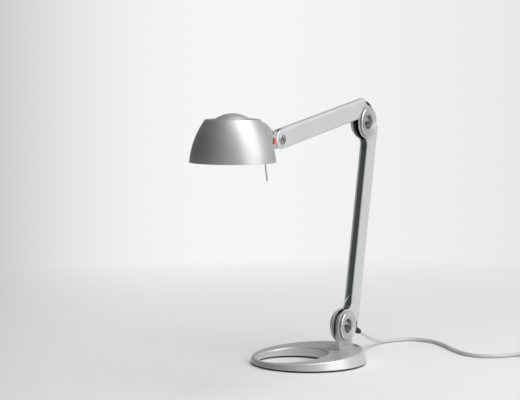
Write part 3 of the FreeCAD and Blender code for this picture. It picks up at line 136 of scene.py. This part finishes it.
# Turn to turn, layer to layer, turns in a layer, and mid-turn radius of the coil.
pitch, layer, spiral, middle = 0.0088, 0.0075, 2.25, 0.038
outer = middle + pitch * spiral / 2
entry = Vector(floor_points[-1])
centre = entry + Vector((heading.y, -heading.x, 0)) * outer
start = math.atan2(entry.y - centre.y, entry.x - centre.x)
whole = 2 * spiral + 0.5
coil_points = []
PER_TURN = 16
OVER_POLYGON = 1.012  # the curve runs inside its control points
for step in range(1, int(whole * PER_TURN)):
    turns = step / PER_TURN
    inward = min(turns, spiral, whole - turns)
    share = min(max((turns - spiral) / 0.5, 0), 1)
    radius = (outer - pitch * inward) * OVER_POLYGON
    angle = start - 2 * math.pi * turns
    rise = layer * (1 - math.cos(math.pi * share)) / 2
    coil_points.append((centre.x + radius * math.cos(angle), centre.y + radius * math.sin(angle),
                        entry.z + rise))
tail_start = Vector((entry.x, entry.y, entry.z + layer))
to_plug = Vector((0, 0, 2 * CORD - tail_start.z))
tail_points = [tuple(tail_start), tuple(tail_start + heading * 0.016),
               tuple(tail_start + heading * 0.032 + to_plug),
               tuple(tail_start + heading * 0.048 + to_plug)]
long_points = floor_points + coil_points + tail_points
cord_long = route("cord_on_table", long_points, "base")
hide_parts("cord_floor", "cord_coil", "cord_tail")


# --- materials ----------------------------------------------------------------------
# Each finish is its own small set of nodes, fed by the row frame's coordinates at rest,
# so that grain and weave stay with the piece when a joint turns.
class Value:
    """A number that varies over a surface. Sums on it add nodes."""

    def __init__(self, finish, socket):
        self.finish = finish
        self.socket = socket

    def __add__(self, other):
        return self.finish.maths("ADD", self, other)

    def __radd__(self, other):
        return self.finish.maths("ADD", other, self)

    def __sub__(self, other):
        return self.finish.maths("SUBTRACT", self, other)

    def __rsub__(self, other):
        return self.finish.maths("SUBTRACT", other, self)

    def __mul__(self, other):
        return self.finish.maths("MULTIPLY", self, other)

    def __truediv__(self, other):
        return self.finish.maths("DIVIDE", self, other)

    def __pow__(self, other):
        return self.finish.maths("POWER", self, other)

    def sine(self):
        return self.finish.maths("SINE", self)

    def low(self, other):
        return self.finish.maths("MINIMUM", self, other)

    def high(self, other):
        return self.finish.maths("MAXIMUM", self, other)

    def above(self, edge):
        return self.finish.maths("GREATER_THAN", self, edge)


class Finish:
    """A material under construction: one shader, and nodes that vary it."""

    def __init__(self, name, **constants):
        self.material = bpy.data.materials.new(name)
        self.material.use_nodes = True
        self.tree = self.material.node_tree
        self.shader = self.tree.nodes["Principled BSDF"]
        for socket, value in constants.items():
            self.shader.inputs[socket.replace("_", " ")].default_value = value
        places = self.tree.nodes.new("ShaderNodeTexCoord")
        self.places = places.outputs["Object"]
        parts = self.tree.nodes.new("ShaderNodeSeparateXYZ")
        self.tree.links.new(self.places, parts.inputs[0])
        self.x, self.y, self.z = (Value(self, socket) for socket in parts.outputs)

    def node(self, kind, output, inputs, **settings):
        made = self.tree.nodes.new(kind)
        for name, setting in settings.items():
            setattr(made, name, setting)
        for name, value in inputs.items():
            if isinstance(value, Value):
                self.tree.links.new(value.socket, made.inputs[name])
            else:
                made.inputs[name].default_value = value
        return Value(self, made.outputs[output])

    def maths(self, operation, *values):
        return self.node("ShaderNodeMath", 0, dict(enumerate(values)), operation=operation)

    def noise(self, scale, detail=2.0):
        return self.node("ShaderNodeTexNoise", "Fac", {
            "Vector": Value(self, self.places), "Scale": scale, "Detail": detail})

    def colours(self, share, first, second):
        return self.node("ShaderNodeMix", 2, {0: share, 6: (*first, 1), 7: (*second, 1)},
                         data_type="RGBA")

    def feed(self, socket, value):
        self.tree.links.new(value.socket, self.shader.inputs[socket])

    def relief(self, height, strength, distance):
        self.feed("Normal", self.node("ShaderNodeBump", 0, {
            "Height": height, "Strength": strength, "Distance": distance}))


def silver(name, low, high, metallic, roughness):
    """Silver-grey paint: fine metal flake under a satin face, slightly cloudy."""
    paint = Finish(name, Metallic=metallic, Coat_Weight=0.12, Coat_Roughness=0.25)
    flake = paint.noise(2400, 1)
    cloud = paint.noise(14, 3)
    tone = (flake * 0.55 + cloud * 0.45)
    paint.feed("Base Color", paint.colours(tone, low, high))
    paint.feed("Roughness", roughness - 0.04 + cloud * 0.08)
    paint.relief(flake, 0.08, 0.0002)
    return paint


finishes = {}
for name, tone, metallic, roughness in (
        ("silver_paint", 0.55, 0.5, 0.38), ("base_paint", 0.60, 0.55, 0.36),
        ("arm_paint", 0.60, 0.4, 0.42), ("shade_paint", 0.52, 0.85, 0.42)):
    finishes[name] = silver(name, (tone - 0.06, tone - 0.048, tone - 0.054),
                            (tone + 0.06, tone + 0.072, tone + 0.066), metallic, roughness)

# Silver plastic of the neck, with fine level ribs moulded in the front shell by the seam, and
# painted shade near-black in the grooves between the ribs.
plastic = silver("silver_plastic", (0.43, 0.455, 0.44), (0.50, 0.525, 0.51), 0.35, 0.42)
ribbed = plastic.x.above(0.2735) * (1 - plastic.x.above(0.292))
furrow = ((plastic.z * (2 * math.pi / 0.0031)).sine() * 0.5 + 0.5) * ribbed
# The dark colour in the grooves is painted shade, not the plastic's own colour.
plastic.feed("Base Color", plastic.colours(furrow * 0.7, (0.47, 0.495, 0.48),
                                           (0.16, 0.17, 0.165)))
plastic.relief(1 - furrow, 0.7, 0.0008)
finishes["silver_plastic"] = plastic

# Turned aluminium: the lathe's fine rings round each joint's axis.
turned = Finish("turned_aluminium", Metallic=1.0)
radii = []
for x, z in ((0.0, 0.064), (-0.071553, 0.43211)):
    across, up = turned.x - x, turned.z - z
    radii.append((across * across + up * up) ** 0.5)
ring = radii[0].low(radii[1])
cut = (ring * (2 * math.pi / 0.0007)).sine() * 0.5 + 0.5
smear = turned.noise(900, 2)
turned.feed("Base Color", turned.colours(cut * 0.6 + smear * 0.4, (0.42, 0.425, 0.42),
                                         (0.78, 0.785, 0.775)))
turned.feed("Roughness", 0.2 + smear * 0.12)
turned.relief(cut, 0.25, 0.0002)
finishes["turned_aluminium"] = turned

# Bare steel of pins, rods, caps and pulleys, with a drawn grain.
steel = Finish("steel", Metallic=1.0)
grain = steel.node("ShaderNodeTexNoise", "Fac", {
    "Vector": steel.node("ShaderNodeCombineXYZ", 0, {
        "X": steel.x * 3.0, "Y": steel.y * 0.3, "Z": steel.z * 3.0}), "Scale": 700.0})
steel.feed("Base Color", steel.colours(grain, (0.36, 0.37, 0.37), (0.62, 0.63, 0.62)))
steel.feed("Roughness", 0.28 + grain * 0.2)
steel.relief(grain, 0.15, 0.0002)
finishes["steel"] = steel

# Stranded steel rope and the springs' close coils: slanting wires, with near-black painted shade
# in the gaps between the wires.
for name, spacing in (("steel_rope", 0.0021), ("spring_steel", 0.0018)):
    rope = Finish(name, Metallic=1.0, Roughness=0.32)
    lay = ((rope.x + rope.z + rope.y * 2.2) * (2 * math.pi / spacing)).sine() * 0.5 + 0.5
    rope.feed("Base Color", rope.colours(lay, (0.12, 0.12, 0.115), (0.72, 0.72, 0.70)))
    rope.relief(lay, 0.8, 0.0006)
    finishes[name] = rope

# Black and pale plastics and rubber: a faint moulded grain, and dust that dulls them.
for name, low, high, roughness, scale in (
        ("black_rubber", (0.012, 0.012, 0.012), (0.03, 0.03, 0.03), 0.62, 1500),
        ("black_plastic", (0.014, 0.014, 0.015), (0.026, 0.026, 0.027), 0.42, 1100),
        ("black_gloss", (0.006, 0.006, 0.006), (0.012, 0.012, 0.012), 0.12, 300),
        ("black_paint", (0.005, 0.005, 0.006), (0.012, 0.012, 0.013), 0.22, 500),
        ("slide_plastic", (0.66, 0.64, 0.58), (0.76, 0.74, 0.68), 0.45, 800),
        ("ceramic", (0.72, 0.71, 0.67), (0.82, 0.81, 0.77), 0.22, 500)):
    moulded = Finish(name)
    fine = moulded.noise(scale, 2)
    moulded.feed("Base Color", moulded.colours(fine, low, high))
    moulded.feed("Roughness", roughness - 0.05 + fine * 0.12)
    moulded.relief(fine, 0.12, 0.0002)
    finishes[name] = moulded

# Orange-red switch bar, glossy, slightly uneven.
red = Finish("red_plastic", Roughness=0.22, Coat_Weight=0.4)
patch = red.noise(420, 2)
red.feed("Base Color", red.colours(patch, (0.62, 0.045, 0.012), (0.80, 0.085, 0.022)))
red.relief(patch, 0.05, 0.0002)
finishes["red_plastic"] = red

# Woven sleeve over the springs: two sets of threads crossing at a slant.
woven = Finish("woven_sleeve", Roughness=0.7, Sheen_Weight=0.3)
along = woven.z * math.cos(math.radians(11)) - woven.x * math.sin(math.radians(11))
THREAD = 2 * math.pi / 0.0024
crossing = (((along + woven.y) * THREAD).sine() * ((along - woven.y) * THREAD).sine()
            * 0.5 + 0.5)
lint = woven.noise(1800, 2)
woven.feed("Base Color", woven.colours(crossing * 0.8 + lint * 0.2, (0.012, 0.016, 0.018),
                                       (0.105, 0.125, 0.135)))
woven.relief(crossing, 0.6, 0.0005)
finishes["woven_sleeve"] = woven

# Light grey cord sheath with fine dark specks.
sheath = Finish("grey_cord")
speck = sheath.noise(1300, 3)
smooth = sheath.noise(90, 2)
dark = (speck - 0.56).high(0.0) * 6.0
sheath.feed("Base Color", sheath.colours(dark.low(1.0), (0.60, 0.61, 0.60), (0.16, 0.16, 0.16)))
sheath.feed("Roughness", 0.42 + smooth * 0.15)
sheath.relief(speck, 0.12, 0.0003)
finishes["grey_cord"] = sheath

# Bright reflector, softly hammered.
bright = Finish("reflector_metal", Metallic=1.0)
hammer = bright.node("ShaderNodeTexVoronoi", "Distance", {
    "Vector": Value(bright, bright.places), "Scale": 260.0}, feature="SMOOTH_F1")
bright.feed("Base Color", bright.colours(hammer, (0.88, 0.88, 0.86), (0.70, 0.70, 0.69)))
bright.feed("Roughness", 0.2 + hammer * 0.15)
bright.relief(hammer, 0.3, 0.0008)
finishes["reflector_metal"] = bright

# Clear bulb glass, and brass contacts.
glass = Finish("bulb_glass", Transmission_Weight=1.0, IOR=1.46)
breath = glass.noise(60, 2)
glass.feed("Roughness", 0.02 + breath * 0.06)
glass.feed("Base Color", glass.colours(breath, (0.95, 0.96, 0.96), (1.0, 1.0, 1.0)))
finishes["bulb_glass"] = glass
brass = Finish("brass", Metallic=1.0)
tarnish = brass.noise(300, 3)
brass.feed("Base Color", brass.colours(tarnish, (0.78, 0.56, 0.24), (0.55, 0.38, 0.16)))
brass.feed("Roughness", 0.2 + tarnish * 0.25)
finishes["brass"] = brass

for part in frame["record"]["subparts"]:
    mesh = nodes[part["node"]].data
    mesh.materials.clear()
    finish = finishes[part["material_slot"]]
    if part["node"].endswith("hollow_axle"):
        finish = turned
    mesh.materials.append(finish.material)
for piece in (cord_exit, cord_drop, cord_long):
    piece.data.materials.clear()
    piece.data.materials.append(sheath.material)


def piece_from(name, mesh_maker, finish, body):
    """A mesh piece made in place, with a finish, riding on a body."""
    mesh = bpy.data.meshes.new(name)
    work = bmesh.new()
    mesh_maker(work)
    bmesh.ops.recalc_face_normals(work, faces=work.faces)
    for face in work.faces:
        face.smooth = True
    work.to_mesh(mesh)
    work.free()
    made = bpy.data.objects.new(name, mesh)
    collection.objects.link(made)
    mesh.materials.append(finishes[finish].material)
    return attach(made, body)


def hoop(work, centre, axis, radius, thickness, sides, round_sides=8):
    """A closed ring of round section about an axis."""
    turn = Vector(axis).to_track_quat("Z", "Y").to_matrix()
    rows = []
    for step in range(sides):
        angle = 2 * math.pi * step / sides
        row = []
        for part in range(round_sides):
            bend = 2 * math.pi * part / round_sides
            reach = radius + thickness * math.cos(bend)
            spot = Vector((reach * math.cos(angle), reach * math.sin(angle),
                           thickness * math.sin(bend)))
            row.append(work.verts.new(Vector(centre) + turn @ spot))
        rows.append(row)
    for here, there in zip(rows, rows[1:] + rows[:1]):
        for part in range(round_sides):
            following = (part + 1) % round_sides
            work.faces.new((here[part], there[part], there[following], here[following]))


# --- strain relief ribs -------------------------------------------------------------
# Rounded ribs that narrow down the tapered relief to the cord.
relief_root = Vector((-0.03318, 0, 0.0544))
relief_turn = math.radians(-110.5)
relief_way = Vector((math.sin(relief_turn), 0, math.cos(relief_turn)))
RELIEF = 0.028


def relief_ribs(work):
    for number in range(6):
        share = 0.25 + number * 0.13
        hoop(work, relief_root + relief_way * RELIEF * share, relief_way,
             0.0054 - 0.0014 * share, 0.0009, 32)


piece_from("strain_relief_ribs", relief_ribs, "black_plastic", "lower_arm")


# --- channel strip ------------------------------------------------------------------
# Dark woven strip that closes the lower arm's channel just inside its open edge, and follows the
# edge's rounding at the two eyes. It stands for the woven sleeve, and it is also painted shade:
# a dark sheet laid over the channel's shaded inside.
def channel_strip(work):
    lean = math.radians(-11)
    upright = Vector((math.sin(lean), 0, math.cos(lean)))
    inward = Vector((-math.cos(lean), 0, math.sin(lean)))
    foot = Vector((0, 0, 0.064))
    arm_length, blend_starts, blend_radius = 0.375, 0.0419, 0.012
    half_width, thickness = 0.0057, 0.001
    rows = []
    for step in range(157):
        along_arm = 0.0315 + 0.002 * step
        bend = max(blend_starts - min(along_arm, arm_length - along_arm), 0)
        edge = 0.0002 + math.sqrt(blend_radius ** 2 - bend ** 2)
        row = []
        for depth, side in ((edge, -half_width), (edge, half_width),
                            (edge + thickness, half_width), (edge + thickness, -half_width)):
            row.append(work.verts.new(foot + upright * along_arm + inward * depth
                                      + Vector((0, side, 0))))
        rows.append(row)
    for here, there in zip(rows, rows[1:]):
        for part in range(4):
            following = (part + 1) % 4
            work.faces.new((here[part], there[part], there[following], here[following]))
    work.faces.new(rows[0])
    work.faces.new(rows[-1])


strip = piece_from("channel_strip", channel_strip, "woven_sleeve", "lower_arm")
for face in strip.data.polygons:
    face.use_smooth = False


# --- shade rim ----------------------------------------------------------------------
# Thin bright bead under the shade's bottom rim.
SHADE_AXIS = 0.359968


def rim_edging(work):
    hoop(work, (SHADE_AXIS, 0, 0.381331), (0, 0, 1), 0.0697, 0.0008, 128)


piece_from("shade_rim_edging", rim_edging, "turned_aluminium", "head")


# --- switch surround ----------------------------------------------------------------
# Black plate and thin black ring on the neck's side: painted shade for a slot above the switch
# bar and for the gap round the bar.
def flat_slot(work, centre, turned_by, half_length, half_width, depth, leaning=0):
    """A thin plate with round ends, upright across Y, turned about Y and leant about X."""
    turn = Matrix.Rotation(math.radians(leaning), 3, "X") @ Matrix.Rotation(
        math.radians(turned_by), 3, "Y")
    outline = []
    for step in range(24):
        angle = math.pi * (step + 0.5) / 12
        end = math.copysign(half_length - half_width, math.cos(angle))
        outline.append((end + half_width * math.cos(angle), half_width * math.sin(angle)))
    rows = [[work.verts.new(Vector(centre) + turn @ Vector((along, side, up)))
             for along, up in outline] for side in (-depth, depth)]
    for step in range(24):
        following = (step + 1) % 24
        work.faces.new((rows[0][step], rows[1][step], rows[1][following], rows[0][following]))
    work.faces.new(rows[0])
    work.faces.new(rows[1])


def switch_slit(work):
    flat_slot(work, (0.2660, 0.0166, 0.4246), 0, 0.0046, 0.0011, 0.0008, leaning=24)
    hoop(work, (0.26597, 0.0192, 0.41183), (0, 1, 0), 0.0048, 0.0005, 48)


piece_from("switch_slit", switch_slit, "black_gloss", "head")


# --- head pivot screws --------------------------------------------------------------
# Black plate across each pivot cap and black ring round the screw's head: painted shade for the
# slanting screw slot and for the gap round the head.
def pivot_slots(work):
    for side in (-1, 1):
        flat_slot(work, (0.22097, side * 0.0100, 0.41183), -50, 0.0056, 0.0009, 0.0002)
        hoop(work, (0.22097, side * 0.0099, 0.41183), (0, 1, 0), 0.0068, 0.0005, 64)


piece_from("head_pivot_slots", pivot_slots, "black_gloss", "head")


# --- bulb filament ------------------------------------------------------------------
# Fine upright coil of twelve turns inside the glass capsule.
def filament(work):
    rings = []
    SEGMENTS = 12
    for step in range(SEGMENTS * 12):
        turn = 2 * math.pi * step / SEGMENTS
        at = Vector((SHADE_AXIS + 0.0016 * math.cos(turn), 0.0016 * math.sin(turn),
                     0.398 + 0.0008 * step / SEGMENTS))
        outward = Vector((math.cos(turn), math.sin(turn), 0))
        row = [work.verts.new(at + 0.00022 * (outward * math.cos(bend) + Vector(
            (0, 0, math.sin(bend))))) for bend in (0, 2.1, 4.2)]
        rings.append(row)
    for here, there in zip(rings, rings[1:]):
        for part in range(3):
            work.faces.new((here[part], there[part], there[(part + 1) % 3],
                            here[(part + 1) % 3]))


piece_from("bulb_filament", filament, "spring_steel", "head")


# --- floor and light ----------------------------------------------------------------
# Pale seamless table under soft light from the lamp's near side. Away from the lamp the table
# and the backdrop screen glow pale grey for the camera, with painted shade that darkens them to
# the left and a little to the right.
floor_mesh = bpy.data.meshes.new("floor")
SPAN = 30
floor_mesh.from_pydata([(-SPAN, -SPAN, -0.0002), (SPAN, -SPAN, -0.0002), (SPAN, SPAN, -0.0002),
                        (-SPAN, SPAN, -0.0002)], [], [(0, 1, 2, 3)])
floor = bpy.data.objects.new("floor", floor_mesh)
collection.objects.link(floor)
ground = Finish("floor", Roughness=0.5)
haze = ground.noise(6, 3)
ground.feed("Base Color", ground.colours(haze, (0.845, 0.85, 0.85), (0.875, 0.88, 0.88)))
# Past 0.25 m from the lamp the camera sees the table fade into the emitted grey with its painted
# shade.
distance = (ground.x * ground.x + ground.y * ground.y) ** 0.5
seen = ground.node("ShaderNodeLightPath", "Is Camera Ray", {})
fade = ((distance - 0.25) / 1.3).high(0.0).low(1.0) * seen


def glow_with_painted_shade(finish):
    """Emitted pale grey with painted shade: darker toward the picture's left and a little toward
    its right.
    """
    window = finish.node("ShaderNodeSeparateXYZ", 0, {0: Value(
        finish, finish.tree.nodes["Texture Coordinate"].outputs["Window"])})
    left = (1.0 - window / 0.42).high(0.0).low(1.0)
    right = (window / 0.45 - 1.22).high(0.0).low(1.2)
    level = 0.915 - left * left * 0.30 - right * 0.1
    return finish.node("ShaderNodeEmission", 0, {"Color": finish.node(
        "ShaderNodeCombineXYZ", 0, {0: level, 1: level, 2: level * 1.003}), "Strength": 1.0})


glow = glow_with_painted_shade(ground)
mixed = ground.node("ShaderNodeMixShader", 0, {
    0: fade, 1: Value(ground, ground.shader.outputs[0]), 2: glow})
ground.tree.links.new(mixed.socket, ground.tree.nodes["Material Output"].inputs["Surface"])
floor_mesh.materials.append(ground.material)

screen_mesh = bpy.data.meshes.new("screen")
along_screen = Vector((LEVEL_WAY.y, -LEVEL_WAY.x, 0)) * 20
behind = LEVEL_WAY * 14
screen_mesh.from_pydata([behind - along_screen - Vector((0, 0, 1)),
                         behind + along_screen - Vector((0, 0, 1)),
                         behind + along_screen + Vector((0, 0, 12)),
                         behind - along_screen + Vector((0, 0, 12))], [], [(0, 1, 2, 3)])
screen = bpy.data.objects.new("screen", screen_mesh)
collection.objects.link(screen)
screen.visible_diffuse = False
screen.visible_glossy = False
backing = Finish("screen")
backing.tree.links.new(glow_with_painted_shade(backing).socket,
                       backing.tree.nodes["Material Output"].inputs["Surface"])
screen_mesh.materials.append(backing.material)

world = bpy.data.worlds.new("studio")
scene.world = world
world.use_nodes = True
sky = world.node_tree
backdrop = sky.nodes["Background"]
backdrop.inputs["Color"].default_value = (0.9, 0.9, 0.905, 1)
room = sky.nodes.new("ShaderNodeBackground")
room.inputs["Strength"].default_value = 0.5
way = sky.nodes.new("ShaderNodeTexCoord")
side = sky.nodes.new("ShaderNodeVectorMath")
side.operation = "DOT_PRODUCT"
side.inputs[1].default_value = (-0.38, 0.85, 0.38)
sky.links.new(way.outputs["Generated"], side.inputs[0])
span = sky.nodes.new("ShaderNodeMapRange")
span.inputs["From Min"].default_value = -0.75
span.inputs["From Max"].default_value = 0.9
span.inputs["To Min"].default_value = 0.06
span.inputs["To Max"].default_value = 1.5
sky.links.new(side.outputs["Value"], span.inputs["Value"])
sky.links.new(span.outputs[0], room.inputs["Color"])
rays = sky.nodes.new("ShaderNodeLightPath")
choice = sky.nodes.new("ShaderNodeMixShader")
sky.links.new(rays.outputs["Is Camera Ray"], choice.inputs[0])
sky.links.new(room.outputs[0], choice.inputs[1])
sky.links.new(backdrop.outputs[0], choice.inputs[2])
sky.links.new(choice.outputs[0], sky.nodes["World Output"].inputs["Surface"])

for name, place, width, power in (("key", (0.1, 2.6, 1.5), 2.6, 33),
                                  ("top", (0.1, 0.9, 2.6), 2.0, 33)):
    lamp = bpy.data.lights.new(name, "AREA")
    lamp.size = width
    lamp.energy = power
    light = bpy.data.objects.new(name, lamp)
    light.location = place
    light.rotation_euler = (Vector((0.1, 0, 0.2)) - Vector(place)).to_track_quat(
        "-Z", "Y").to_euler()
    collection.objects.link(light)

bpy.context.view_layer.update()
